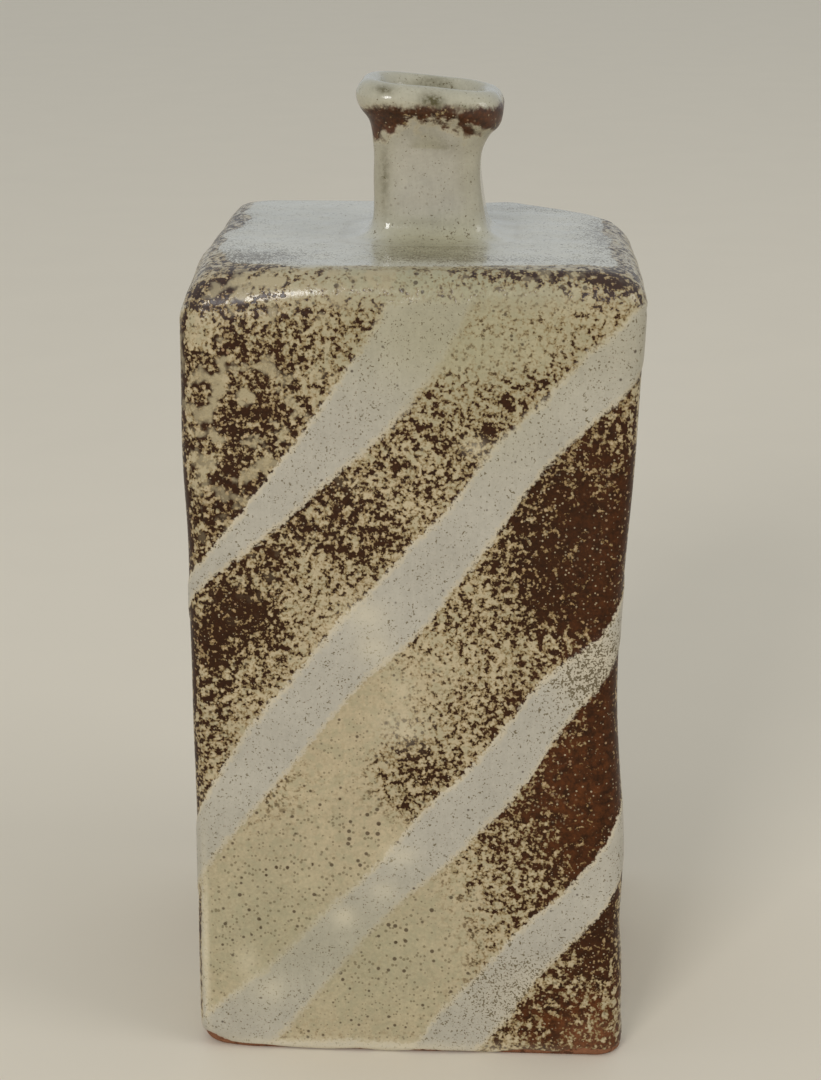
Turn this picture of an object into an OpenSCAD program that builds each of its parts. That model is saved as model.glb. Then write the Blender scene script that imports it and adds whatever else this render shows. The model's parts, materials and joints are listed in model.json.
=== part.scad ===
// Square sake bottle, built by hand from slabs of stoneware clay.
// A base slab carries four mitred walls, a thick shoulder slab closes them, and a
// squared neck with a rolled lip stands on the shoulder, a little right of centre.
// Coils of clay are pressed into the seams inside and round the foot of the neck.
// Millimetres, +Z up, front towards -Y, origin at the middle of the foot.

/* [Body] */
// Width of the body, left to right
body_w = 94; // [70:1:130]
// Depth of the body, front to back
body_d = 94; // [70:1:130]
// Height from the table to the flat of the shoulder
body_h = 177; // [120:1:240]
// Radius of the upright corners
corner_r = 5; // [2:0.5:8]
// How far the right wall bows inwards at mid height
wall_bow = 3.4; // [0.6:0.2:6]

/* [Slabs] */
// Thickness of the base slab
base_t = 7; // [5:0.5:12]
// Thickness of the four walls
wall_t = 6.5; // [5:0.5:10]
// Thickness of the shoulder slab
shoulder_t = 7.6; // [7.2:0.2:14]
// Bevel round the foot, left free of glaze
foot_bevel = 2.5; // [1:0.5:4]
// Rounding of the shoulder's left edge
shoulder_left_r = 4; // [2:0.5:6]
// Rounding of the shoulder's right edge
shoulder_right_r = 7; // [2:0.5:7]
// Rounding of the shoulder's front and back edges
shoulder_front_r = 6; // [2:0.5:7]

/* [Neck] */
// Width of the neck at its waist
neck_w = 23.4; // [20:0.2:32]
// Depth of the neck at its waist
neck_d = 21; // [20:0.2:32]
// Height of the neck from the shoulder to the lip
neck_h = 22; // [14:1:40]
// How far each side of the neck flares above and below its waist
neck_flare = 1.6; // [0.8:0.2:3]
// Radius of the neck's upright corners
neck_corner_r = 4.5; // [3:0.5:7]
// How far the neck stands right of the middle
neck_shift = 1.9; // [0:0.1:6]
// Radius of the round bore through the neck
bore_r = 7.5; // [5:0.1:8]

/* [Lip] */
// Height of the rolled lip
lip_h = 11; // [8:0.5:16]
// How far the lip stands out past the neck's waist
lip_out = 3.8; // [3:0.2:6]
// Rounding of the lip's upper edge
lip_round = 3.5; // [2:0.5:4]
// Radius of the mouth where it opens at the top
mouth_r = 10.2; // [8.5:0.1:10.6]
// Depth of the mouth's flare, from the top down to the bore
mouth_depth = 8; // [5:0.5:10]

/* [Clay coils] */
// Radius of the coil in each upright corner inside
corner_coil_r = 4.5; // [2:0.5:6]
// Radius of the coil along each seam with the base
floor_coil_r = 4; // [2:0.5:6]
// Gap left between the floor coils and the corner coils
coil_gap = 1.5; // [1:0.5:3]
// Radius of the hollow coil round the foot of the neck
root_coil_r = 6; // [3:0.5:8]
// Thickness left at the thin edges of that coil
root_coil_edge = 0.5; // [0.3:0.1:1]
// How much wider than the bore the hole in the shoulder slab is
hole_gap = 0.5; // [0.2:0.1:1]
// Height of straight wall left above and below the bow
bow_margin = 3; // [1:0.5:8]

/* [Hidden] */

$fn = 64;
fine = 720;          // facets on the very large circles of the bowed wall
over = 10;           // how far a cutting shape runs past what it cuts

half_w = body_w / 2;
half_d = body_d / 2;
wall_h = body_h - base_t - shoulder_t;
cavity_w = body_w - 2 * wall_t;
cavity_d = body_d - 2 * wall_t;

// The bow is an arc whose chord is the wall's height less a margin at each end.
bow_chord = wall_h - 2 * bow_margin;
bow_r = (pow(bow_chord / 2, 2) + pow(wall_bow, 2)) / (2 * wall_bow);
bow_x = half_w - wall_bow + bow_r;
bow_z = base_t + wall_h / 2;
mitre_reach = wall_t + wall_bow + 1;

// The side of the neck is an arc too: the waist is its nearest point to the axis.
neck_side_r = (pow(neck_h / 2, 2) + pow(neck_flare, 2)) / (2 * neck_flare);
// Distance from the axis to the neck's rounded upright corners, at the waist.
neck_corner_reach =
    norm([neck_w / 2 - neck_corner_r, neck_d / 2 - neck_corner_r]) + neck_corner_r;
neck_reach = neck_corner_reach + neck_flare + root_coil_r + over;
lip_z = body_h + neck_h;

clay = "#8a6a4c";
pale_glaze = "#a99f88";
olive_glaze = "#a0926f";
brown_glaze = "#6d5638";
roof_glaze = "#aeafa8";

// ---- outlines and helpers ----

// A square with round corners, seen from above.
module rounded_plan(w, d, r) {
    square([w - 2 * r, d], center = true);
    square([w, d - 2 * r], center = true);
    for (x = [-1, 1], y = [-1, 1])
        translate([x * (w / 2 - r), y * (d / 2 - r)]) circle(r);
}

// Extrudes an outline drawn in X and Z along Y, and one drawn in Y and Z along X.
module along_y(length) {
    rotate([90, 0, 0]) linear_extrude(length, center = true) children();
}

module along_x(length) {
    rotate([90, 0, 90]) linear_extrude(length, center = true) children();
}

module both_sides() {
    children();
    mirror([1, 0]) children();
}

// A squared solid from one outline of its right-hand side. The outline reads
// $half, its half width at the waist, and is drawn for the width, for the depth
// and, turned, for the rounded corners.
module squared_solid(w, d, corner_reach) {
    intersection() {
        along_y(2 * neck_reach) both_sides() let($half = w / 2) children();
        along_x(2 * neck_reach) both_sides() let($half = d / 2) children();
        rotate_extrude() let($half = corner_reach) children();
    }
}

module at_neck(z) {
    translate([neck_shift, 0, z]) children();
}

// ---- base, walls and shoulder ----

// Outline of the base slab from the side, bevelled at the table.
module foot_outline(w) {
    polygon([
        [-w / 2 + foot_bevel, 0], [w / 2 - foot_bevel, 0], [w / 2, foot_bevel],
        [w / 2, base_t], [-w / 2, base_t], [-w / 2, foot_bevel]
    ]);
}

module base_slab() {
    color(brown_glaze) intersection() {
        linear_extrude(base_t) rounded_plan(body_w, body_d, corner_r);
        along_y(body_d + over) foot_outline(body_w);
        along_x(body_w + over) foot_outline(body_d);
    }
}

// A standing block whose right side bows inwards, inset by t on every side.
module bowed_block(t) {
    along_y(body_d - 2 * t) difference() {
        translate([-half_w + t, base_t]) square([body_w - 2 * t, wall_h]);
        translate([bow_x, bow_z]) circle(bow_r + t, $fn = fine);
    }
}

module cavity() {
    bowed_block(wall_t);
}

// All four walls in one ring, before they are parted at the mitres.
module wall_ring() {
    difference() {
        intersection() {
            bowed_block(0);
            translate([0, 0, base_t]) linear_extrude(wall_h)
                rounded_plan(body_w, body_d, corner_r);
        }
        cavity();
    }
}

// The prism that holds one wall, mitred at 45 degrees. w is the body's size along
// the wall and d its size across it.
module mitre_prism(w, d) {
    translate([0, 0, base_t - over]) linear_extrude(wall_h + 2 * over) polygon([
        [-w / 2 - over, -d / 2 - over], [w / 2 + over, -d / 2 - over],
        [w / 2 - mitre_reach, -d / 2 + mitre_reach],
        [-w / 2 + mitre_reach, -d / 2 + mitre_reach]
    ]);
}

module wall(turn) {
    sideways = turn % 180 != 0;
    intersection() {
        wall_ring();
        rotate([0, 0, turn])
            mitre_prism(sideways ? body_d : body_w, sideways ? body_w : body_d);
    }
}

module front_wall() { color(pale_glaze) wall(0); }
module right_wall() { color(brown_glaze) wall(90); }
module back_wall() { color(olive_glaze) wall(180); }
module left_wall() { color(olive_glaze) wall(270); }

// What is cut away to round a top right corner at the origin.
module round_off(r) {
    difference() {
        translate([-r, -r]) square(r + over);
        translate([-r, -r]) circle(r);
    }
}

// Outline of the shoulder slab from the side, with its own rounding at each end.
module shoulder_outline(w, low_r, high_r) {
    difference() {
        translate([-w / 2, body_h - shoulder_t]) square([w, shoulder_t]);
        translate([w / 2, body_h]) round_off(high_r);
        translate([-w / 2, body_h]) mirror([1, 0]) round_off(low_r);
    }
}

module shoulder_slab() {
    color(roof_glaze) difference() {
        intersection() {
            translate([0, 0, body_h - shoulder_t]) linear_extrude(shoulder_t)
                rounded_plan(body_w, body_d, corner_r);
            along_y(body_d + over)
                shoulder_outline(body_w, shoulder_left_r, shoulder_right_r);
            along_x(body_w + over)
                shoulder_outline(body_d, shoulder_front_r, shoulder_front_r);
        }
        at_neck(body_h - shoulder_t - over)
            cylinder(h = shoulder_t + 2 * over, r = bore_r + hole_gap);
    }
}

// ---- neck and lip ----

// Right-hand side of the neck: a shallow arc, narrowest halfway up.
module neck_side() {
    difference() {
        square([$half + neck_flare + 1, neck_h]);
        translate([$half + neck_side_r, neck_h / 2]) circle(neck_side_r);
        translate([$half + neck_flare, -over]) square([over, neck_h + 2 * over]);
    }
}

module neck_block() {
    squared_solid(neck_w, neck_d, neck_corner_reach) neck_side();
}

module neck() {
    color(olive_glaze) at_neck(body_h) difference() {
        neck_block();
        translate([0, 0, -over]) cylinder(h = neck_h + 2 * over, r = bore_r);
    }
}

// Right-hand side of the lip: it leans out from the neck and rolls over at the top.
module lip_side() {
    shoulder_z = lip_h - lip_round;
    polygon([
        [0, 0], [$half + neck_flare, 0], [$half + lip_out, shoulder_z], [0, shoulder_z]
    ]);
    square([$half + lip_out - lip_round, lip_h]);
    translate([$half + lip_out - lip_round, shoulder_z]) circle(lip_round);
}

module lip() {
    color(pale_glaze) at_neck(lip_z) difference() {
        squared_solid(neck_w, neck_d, neck_corner_reach) lip_side();
        translate([0, 0, -over]) cylinder(h = lip_h + over, r = bore_r);
        translate([0, 0, lip_h - mouth_depth])
            cylinder(h = mouth_depth, r1 = bore_r, r2 = mouth_r);
        translate([0, 0, lip_h]) cylinder(h = over, r = mouth_r);
    }
}

// Right-hand side of the root coil, hollow-curved from the shoulder to the neck.
module root_coil_side() {
    reach = $half + neck_flare + root_coil_r;
    difference() {
        square([reach, root_coil_r]);
        translate([reach, root_coil_r]) circle(root_coil_r - root_coil_edge);
    }
}

module neck_root_coil() {
    color(olive_glaze) at_neck(body_h) difference() {
        squared_solid(neck_w, neck_d, neck_corner_reach) root_coil_side();
        neck_block();
    }
}

// ---- coils inside ----

// side_y is -1 for the front corner and 1 for the back one.
module left_corner_coil(side_y) {
    color(clay) intersection() {
        cavity();
        translate([-cavity_w / 2, side_y * cavity_d / 2, base_t - over])
            cylinder(h = wall_h + 2 * over, r = corner_coil_r);
    }
}

// The right-hand coils follow the bow of their wall.
module right_corner_coil(side_y) {
    color(clay) intersection() {
        cavity();
        translate([bow_x, side_y * cavity_d / 2, bow_z]) rotate([90, 0, 0])
            rotate_extrude($fn = fine)
                translate([bow_r + wall_t, 0]) circle(corner_coil_r, $fn = 48);
    }
}

// A quarter-round coil along the floor at the front of a cavity w wide and d deep.
module floor_coil(w, d) {
    length = w - 2 * (corner_coil_r + coil_gap);
    translate([0, -d / 2, base_t]) rotate([0, 90, 0])
        cylinder(h = length, r = floor_coil_r, center = true);
}

module seam_coil(turn) {
    sideways = turn % 180 != 0;
    color(clay) intersection() {
        cavity();
        rotate([0, 0, turn])
            floor_coil(sideways ? cavity_d : cavity_w, sideways ? cavity_w : cavity_d);
    }
}

module corner_coil_front_left() { left_corner_coil(-1); }
module corner_coil_back_left() { left_corner_coil(1); }
module corner_coil_front_right() { right_corner_coil(-1); }
module corner_coil_back_right() { right_corner_coil(1); }
module floor_coil_front() { seam_coil(0); }
module floor_coil_right() { seam_coil(90); }
module floor_coil_back() { seam_coil(180); }
module floor_coil_left() { seam_coil(270); }

base_slab();
front_wall();
back_wall();
left_wall();
right_wall();
shoulder_slab();
neck();
lip();
neck_root_coil();
corner_coil_front_left();
corner_coil_back_left();
corner_coil_front_right();
corner_coil_back_right();
floor_coil_front();
floor_coil_back();
floor_coil_left();
floor_coil_right();
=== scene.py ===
"""Looks of a square, slab-built sake bottle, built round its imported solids.

The outer skin is one continuous loft of rings: under the foot, up the walls, over the
shoulder, up the neck, round the lip and down the bore. Each slab, coil and ring of clay
takes its own stretch of that skin and is closed behind it into a solid of its own.
Shapes are worked out in millimetres and turned into metres when a mesh is made.
"""

import json
import math

import bpy
import numpy as np
from bpy.props import FloatProperty, FloatVectorProperty, PointerProperty
from bpy.types import Operator, Panel, PropertyGroup
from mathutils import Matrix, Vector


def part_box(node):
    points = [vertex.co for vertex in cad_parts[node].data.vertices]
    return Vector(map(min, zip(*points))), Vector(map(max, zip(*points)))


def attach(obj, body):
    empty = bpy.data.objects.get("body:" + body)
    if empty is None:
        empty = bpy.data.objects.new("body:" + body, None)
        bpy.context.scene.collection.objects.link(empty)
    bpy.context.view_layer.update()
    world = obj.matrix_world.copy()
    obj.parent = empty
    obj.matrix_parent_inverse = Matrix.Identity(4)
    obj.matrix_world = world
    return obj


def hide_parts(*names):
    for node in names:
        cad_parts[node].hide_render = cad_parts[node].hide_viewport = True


bl_info = {
    "name": "Slab-built Sake Bottle",
    "version": (1, 0, 0),
    "blender": (4, 5, 0),
    "location": "3D View > Sidebar > Bottle",
    "description": "Builds a square stoneware bottle with a poured ash glaze and pale slip stripes",
    "category": "Add Mesh",
}

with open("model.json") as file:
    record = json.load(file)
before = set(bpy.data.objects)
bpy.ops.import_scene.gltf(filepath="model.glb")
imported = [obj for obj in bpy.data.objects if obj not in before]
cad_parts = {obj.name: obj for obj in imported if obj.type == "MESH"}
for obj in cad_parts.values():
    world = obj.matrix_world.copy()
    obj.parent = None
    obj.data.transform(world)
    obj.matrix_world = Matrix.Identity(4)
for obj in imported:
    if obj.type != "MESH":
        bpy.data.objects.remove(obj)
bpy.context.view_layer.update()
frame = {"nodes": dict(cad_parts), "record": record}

MM = 0.001
BODY = "root"


def srgb(red, green, blue):
    """A colour given as 0 to 255 display values, as the linear values that shaders use."""
    shares = (value / 255 for value in (red, green, blue))
    return tuple(s / 12.92 if s <= 0.04045 else ((s + 0.055) / 1.055) ** 2.4 for s in shares)


def span(node):
    """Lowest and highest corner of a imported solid, in millimetres."""
    low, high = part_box(node)
    return np.array(low) / MM, np.array(high) / MM


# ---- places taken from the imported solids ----

BASE_HIGH = span("base_slab")[1]
WALL_HIGH = span("front_wall")[1]
LEFT_LOW, LEFT_HIGH = span("left_wall")
RIGHT_LOW, RIGHT_HIGH = span("right_wall")
NECK_LOW, NECK_HIGH = span("neck")
LIP_LOW, LIP_HIGH = span("lip")
COIL_LOW, COIL_HIGH = span("neck_root_coil")

HALF_X, HALF_Y = BASE_HIGH[:2]
BASE_TOP = BASE_HIGH[2]
WALL_TOP = WALL_HIGH[2]
ROOF = NECK_LOW[2]
COIL_TOP = COIL_HIGH[2] + 0.5
NECK_TOP = NECK_HIGH[2]
WALL_THICK = LEFT_HIGH[0] - LEFT_LOW[0]
WALL_BOW = RIGHT_HIGH[0] - RIGHT_LOW[0] - WALL_THICK
NECK_X = (NECK_LOW[0] + NECK_HIGH[0]) / 2
NECK_FLARE = 1.6
NECK_HALF_X = (NECK_HIGH[0] - NECK_LOW[0]) / 2 - NECK_FLARE
NECK_HALF_Y = (NECK_HIGH[1] - NECK_LOW[1]) / 2 - NECK_FLARE
LIP_OUT = (LIP_HIGH[0] - LIP_LOW[0]) / 2 - NECK_HALF_X
COIL_OUT = (COIL_HIGH[0] - COIL_LOW[0]) / 2 - NECK_HALF_X
BORE_R = next(m for m in frame["record"]["mounts"] if m["kind"] == "bore")["dims"]["r_mm"]
SIDE = 2 * HALF_X
PERIMETER = 4 * SIDE

# Numbers of points round a ring: along half a corner, and along one flat side.
ARC_POINTS = 8
SIDE_POINTS = 144
QUARTER = 2 * ARC_POINTS + SIDE_POINTS
FLAT_SHARE = 42 / 47    # of a side's width, between its two rounded corners

# Numbers of rings: under the foot, round its bevel, up the base, the walls and the shoulder
# slab's edge, over its rounding, and in to the root of the neck.
UNDERFOOT_RINGS, BEVEL_RINGS, BASE_RINGS, WALL_RINGS = 8, 7, 9, 270
EDGE_RINGS, ROUNDING_RINGS, ROOF_RINGS = 4, 15, 42

# ---- the decoration, on the unrolled body ----
# Across: 0 is the middle of the front, 94 the middle of the right side, and so on round.
# Each stripe is brushed upwards to the right: (across, height, half width).

STRIPES = [
    [(-152, -12, 5), (-141, 2, 5), (-118, 30, 6), (-94, 60, 6), (-70, 86, 4.5), (-47, 110, 2.2),
     (-38, 119, 3), (-25, 133, 5), (-13, 147, 6.5), (-4, 159, 7.6), (4, 172, 8.4),
     (12, 186, 8.4), (22, 200, 8)],
    [(-108, -20, 6), (-96, -6, 6), (-80, 12, 6), (-62, 32, 5.5), (-47, 50, 5), (-31, 72, 6.1),
     (-15, 93, 6.6), (-2, 107, 7.4), (12, 124, 6.2), (22, 138, 5.9), (36, 153, 6),
     (50, 166, 6.3), (60, 178, 6), (72, 194, 6)],
    [(-60, -20, 8), (-46, -4, 9), (-27, 16, 6.5), (-15, 31, 5.6), (-4, 43, 5.5), (6, 54, 6),
     (20, 70, 5.8), (31, 84, 5.8), (42, 94, 4.8), (50, 102, 4.6), (66, 120, 5.5), (84, 138, 6),
     (112, 178, 7), (124, 194, 7)],
    [(-11, -19, 6.5), (3, -4, 6.5), (9, 4, 6.5), (19, 16, 6.2), (26, 25, 5.8), (35, 35, 5.1),
     (44, 45.5, 5.6), (52, 55, 5.5), (70, 74, 6), (92, 98, 6.5), (116, 122, 5.5), (140, 146, 6),
     (166, 180, 7), (178, 196, 7)],
    [(46, -18, 6), (58, -4, 6), (76, 18, 6), (98, 42, 5.5), (120, 66, 6.5), (142, 88, 6),
     (164, 112, 5.5), (188, 138, 6.5), (222, 180, 7), (234, 194, 7)],
    [(100, -18, 6), (112, -4, 6.5), (130, 18, 6), (152, 42, 5.5), (174, 66, 6), (198, 92, 6.5),
     (222, 116, 6), (244, 142, 5.5), (276, 180, 7), (288, 194, 7)],
    [(152, -18, 6), (164, -4, 6), (184, 20, 6), (206, 44, 5.5), (228, 68, 6), (250, 92, 6.5),
     (274, 118, 5.5), (298, 142, 6), (328, 180, 6), (340, 194, 6)],
]

# Where the iron-brown glaze gathers (positive) or thins (negative):
# (across, height, reach across, reach up, amount).
IRON_POOLS = [
    (37, 119, 15, 25, 0.66), (-1, 69, 8, 9, 0.34), (37, 63, 15, 18, 0.58),
    (-38, 99, 12, 17, 0.34), (-12, 129, 12, 12, 0.14), (-32, 128, 12, 10, 0.3),
    (-36, 150, 13, 15, 0.19), (16, 161, 24, 8, -0.25), (-14, 80, 16, 17, -0.4),
    (8, 92, 12, 10, -0.12), (-24, 106, 7, 9, -0.16), (12, 122, 9, 12, -0.12),
    (-34, 30, 24, 26, -0.6), (-44, 4.5, 3, 1.6, 1.3), (-2, 22, 18, 24, -0.42),
    (-10, 50, 14, 14, -0.25), (34, 10, 14, 12, 0.3), (43, 36, 6, 12, 0.5), (45, 84, 5, 34, 0.45),
    (34, 36, 8, 9, 0.15), (-42, 174, 10, 7, 0.3), (44, 176, 7, 4, 0.42), (26, 176.5, 9, 1.6, 0.3),
    (-8, 177, 18, 7, -0.22), (16, 144.5, 1.3, 1.1, 1.0), (19.5, 150.5, 0.9, 1.2, 0.8),
    (22, 172, 18, 4, -0.22), (-44, 164, 5, 4, -0.3), (70, 60, 20, 26, 0.4),
    (110, 130, 20, 26, 0.35), (160, 80, 22, 28, 0.4), (205, 120, 20, 24, 0.35),
    (215, 40, 24, 22, 0.3), (262, 100, 20, 28, 0.38), (300, 50, 22, 24, 0.3),
    (310, 120, 18, 20, 0.3), (120, 22, 22, 18, -0.4), (180, 150, 24, 16, -0.35),
    (250, 150, 20, 16, -0.35), (80, 168, 26, 9, -0.3), (310, 12, 16, 16, -0.4),
    (230, 14, 18, 14, -0.3),
]
IRON_EVERYWHERE = 0.36

# Where the clay's red shows through the brown: (across, height, reach across, reach up, amount).
RED_POOLS = [
    (36, 62, 16, 24, 0.6), (40, 6, 18, 12, 1.05), (-48, 4, 6, 6, 1.0), (42, 112, 12, 40, 0.35),
    (90, 20, 26, 18, 0.7), (150, 14, 24, 16, 0.8), (230, 20, 24, 18, 0.7), (290, 12, 20, 14, 0.8),
]

# Where the ash glaze runs to olive green: these lists and those below read the same way.
OLIVE_POOLS = [
    (8, 164, 30, 12, 0.8), (5, 177, 34, 6, 0.8), (-5, 22, 16, 20, 0.55), (-34, 30, 18, 22, 0.55),
    (14, 146, 16, 12, 0.4), (80, 162, 30, 14, 0.8), (170, 160, 30, 16, 0.8),
    (262, 164, 30, 14, 0.8), (110, 60, 20, 30, 0.4),
]

# Milky blobs that float over the brown.
MILK_POOLS = [
    (-34, 148, 14, 24, 1.1), (-20, 176, 26, 7, 1.0), (30, 178, 14, 4, 0.5), (90, 150, 24, 20, 0.6),
    (190, 160, 24, 20, 0.7), (300, 150, 24, 24, 0.8),
]

# Where the stripes' slip is thin and peppered with brown.
THIN_POOLS = [
    (42, 93, 13, 12, 0.46), (28, 14, 20, 14, 0.35), (80, 60, 20, 24, 0.5), (150, 40, 20, 24, 0.5),
    (210, 130, 20, 24, 0.5), (280, 60, 20, 24, 0.5),
]

# How far up the bare clay of the foot shows, and where a rim of slip runs along above it.
FOOT_POOLS = [
    (42, 0, 16, 30, 1.5), (-47, 0, 5.5, 30, 3.4), (100, 0, 24, 30, 1.2), (190, 0, 26, 30, 1.4),
    (280, 0, 24, 30, 1.2),
]
FOOT_SLIP = [(-16, 0, 28, 30, 3.0), (150, 0, 26, 30, 3.0), (240, 0, 20, 30, 2.6), (300, 0, 16, 30, 3.0)]

# Buttery glaze lying in dimples, lightened further as a painted highlight of its sheen: spots in
# dimples of the walls, and lines along the foot and the left edge.
POOLED_GLAZE_AND_SHEEN = [
    (-10, 104.5, 4.5, 3, 0.5), (-8, 97, 4, 4, 0.5), (13, 141, 2.2, 1.6, 0.5), (-2.5, 79, 5, 4, 0.4),
    (-2.5, 48.5, 3.5, 2.6, 0.5), (-6, 40, 3, 2.4, 0.4), (-15, 33.5, 2.6, 2.4, 0.6),
    (-31, 15, 3, 3, 0.4), (-36, 22, 2.5, 4, 0.4), (-2, 88, 3, 3, 0.3),
    (-14, 1.2, 34, 1.6, 0.7), (-45.8, 26, 1.0, 22, 0.65), (165, 1.2, 30, 1.6, 0.5),
    (84, 120, 4, 4, 0.5), (92, 60, 4, 4, 0.4), (160, 100, 5, 4, 0.5), (205, 60, 4, 4, 0.5),
    (262, 120, 4, 4, 0.4), (290, 70, 4, 4, 0.5),
]

# On the shoulder, seen from above: (x, y, reach x, reach y, amount).
# Where the brown of the rim runs in over the grey, and where the grey is peppered.
RIM_PATCHES = [(-40, -42, 14, 8, 5), (38, -42, 14, 7, 3.5), (42, 20, 6, 24, 2), (-20, -42, 14, 5, -2)]
ROOF_SPECKLES = [
    (-34, -32, 14, 10, 0.7), (40, 0, 7, 34, 0.55), (30, 34, 18, 8, 0.4), (-42, 10, 6, 26, 0.3),
    (20, -34, 22, 5, 0.35),
]

# Dark streaks in the olive pool at the foot of the neck.
POOL_STREAKS = [
    (4, -18, 7, 0.9, 0.8), (-6, -15.5, 5, 0.7, 0.5), (10, -21, 6, 1.0, 0.5), (2, -29, 11, 4.0, 0.5),
]

# On the neck and lip, seen from the front: (x, height, reach x, reach up, amount).
LIP_SMUDGES = [
    (2.6, 207.4, 2.3, 1.3, 1.3), (-7.5, 208.6, 2.0, 0.8, 0.9), (9, 206.8, 1.6, 0.7, 0.7),
    (3.5, 205.4, 3.2, 1.0, 0.4),
]
# Stains on the neck. The two upright streaks near its left side and the one on its right side are
# painted shade along the neck's sides.
NECK_STAINS_AND_SHADE = [
    (-7.6, 192, 1.0, 4.5, 0.55), (-7.6, 186, 0.8, 5, 0.3), (9, 192, 2.0, 4, 0.15),
    (5, 197.5, 5, 1.6, 0.30), (-2, 200, 4, 1.2, 0.2), (0, 181, 7, 1.0, 0.2),
]

# Outline of the neck and lip from the root coil up, over the lip and down inside:
# (distance out from the neck's waist, height above the roof, corner radius).
NECK_OUTLINE = [
    (COIL_OUT, 0.0, 9.0), (4.4, 0.15, 7.6), (2.2, 0.9, 5.8), (0.8, 2.7, 4.2),
    (0.1, COIL_TOP - ROOF, 3.4), (-0.25, 10.5, 2.9), (-0.45, 15.0, 2.8), (-0.35, 18.5, 3.0),
    (0.25, NECK_TOP - ROOF, 3.8), (1.2, 24.8, 5.2), (2.9, 27.0, 7.0), (LIP_OUT - 0.1, 28.8, 7.8),
    (LIP_OUT, 30.4, 8.0), (LIP_OUT - 0.9, 32.0, 7.6), (LIP_OUT - 2.5, 32.8, 7.0),
    (-0.1, 32.4, 6.6), (-1.1, 31.0, 6.4), (-1.9, 28.8, 6.4), (-2.9, 26.6, 6.8),
]
COIL_STEPS = 4          # outline points that belong to the root coil
NECK_STEPS = 8          # and the point where the neck ends and the lip begins
OUTLINE_RINGS = 7       # rings between two points of the outline
BORE_STEPS = 8          # rings from the squared mouth to the round bore


# ---- settings ----

def length_setting(name, description, millimetres):
    return FloatProperty(name=name, description=description, default=millimetres * MM, unit="LENGTH")


def angle_setting(name, description, degrees):
    return FloatProperty(name=name, description=description, default=math.radians(degrees),
                         subtype="ANGLE")


def share_setting(name, description, default):
    return FloatProperty(name=name, description=description, default=default, min=0.0, max=1.0,
                         subtype="FACTOR")


def colour_setting(name, description, red, green, blue):
    return FloatVectorProperty(name=name, description=description, subtype="COLOR",
                               default=srgb(red, green, blue))


class BottleShape(PropertyGroup):
    """Sizes of the hand-made surface that the solids leave open."""

    corner_radius: length_setting("Corner radius", "Radius of the body's upright corners", 5)
    shoulder_radius: length_setting("Shoulder radius", "Rounding of the shoulder slab's upper edge", 6)
    foot_bevel: length_setting("Foot bevel", "Rounded edge round the foot", 1.5)
    unevenness: length_setting("Unevenness", "How far the hand-beaten walls wander from flat", 0.35)
    slip_thickness: length_setting("Slip thickness", "How far the brushed stripes stand proud", 0.28)
    lip_tilt: angle_setting("Lip tilt", "How far the lip leans down to the right", 4.8)


class BottleGlaze(PropertyGroup):
    """Colours and gloss of the fired surface."""

    slip: colour_setting("Slip", "Pale brushed stripes", 172, 165, 150)
    cream: colour_setting("Cream", "Warmer slip along the stripes' edges", 186, 174, 150)
    ash: colour_setting("Ash", "Tan ash glaze between the brown flecks", 177, 161, 130)
    amber: colour_setting("Amber", "Stain round the brown flecks", 124, 98, 52)
    olive: colour_setting("Olive", "Ash glaze where it runs thick and green", 154, 147, 118)
    blush: colour_setting("Blush", "Pinkish grains in the brown", 160, 130, 98)
    milk: colour_setting("Milk", "Milky blobs over the brown", 164, 150, 119)
    iron: colour_setting("Iron", "Dark brown flecks and pools", 47, 23, 4)
    rust: colour_setting("Rust", "Redder brown where the glaze is thin", 94, 50, 20)
    speck: colour_setting("Speck", "Olive brown specks in the slip", 98, 86, 60)
    # The stain colour also paints shade along the neck's sides and inside the mouth.
    stain_and_shade: colour_setting("Stain", "Smooth dark olive stain under the glaze", 80, 72, 40)
    # Butter is also the colour of a painted highlight: the sheen of the glaze lying in dimples.
    butter_and_sheen: colour_setting("Butter", "Pale yellow glaze lying in dimples", 214, 202, 174)
    grey: colour_setting("Grey", "Pale grey glaze on the shoulder and lip", 191, 187, 173)
    clay: colour_setting("Clay", "Bare fired clay", 132, 88, 62)
    gloss_roughness: share_setting("Glaze roughness", "Roughness of the ash glaze", 0.20)
    fleck_roughness: share_setting("Fleck roughness", "Roughness of the iron flecks", 0.36)
    slip_roughness: share_setting("Slip roughness", "Roughness of the glazed slip", 0.30)
    roof_roughness: share_setting("Shoulder roughness", "Roughness of the shoulder's grey glaze", 0.20)
    neck_roughness: share_setting("Neck roughness", "Roughness of the glaze on the neck and lip", 0.14)
    clay_roughness: share_setting("Clay roughness", "Roughness of bare clay", 0.80)


class BottleStudio(PropertyGroup):
    """Camera and lights."""

    lens: FloatProperty(name="Lens", description="Focal length in millimetres", default=73.9,
                        subtype="DISTANCE_CAMERA")
    pitch: angle_setting("Pitch", "How far the camera looks down", 17.86)
    turn: angle_setting("Turn", "How far the camera stands round to the right", 2.8)
    distance: length_setting("Distance", "Level distance from the camera to the bottle's axis", 485)
    height: length_setting("Height", "Height of the camera above the table", 262)
    aside: length_setting("Aside", "How far the camera is moved to its own left", 2.6)
    floor: colour_setting("Floor", "Pale floor", 224, 213, 194)
    sky: colour_setting("Surround", "Pale surround", 222, 227, 230)


# ---- small mathematics ----

def ease(low, high, value):
    """0 below low, 1 above high, and smooth between them."""
    t = np.clip((value - low) / (high - low), 0, 1)
    return t * t * (3 - 2 * t)


def bump(value, middle, reach):
    """1 at the middle, falling smoothly to nothing well past the reach."""
    return np.exp(-(((value - middle) / reach) ** 2))


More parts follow.
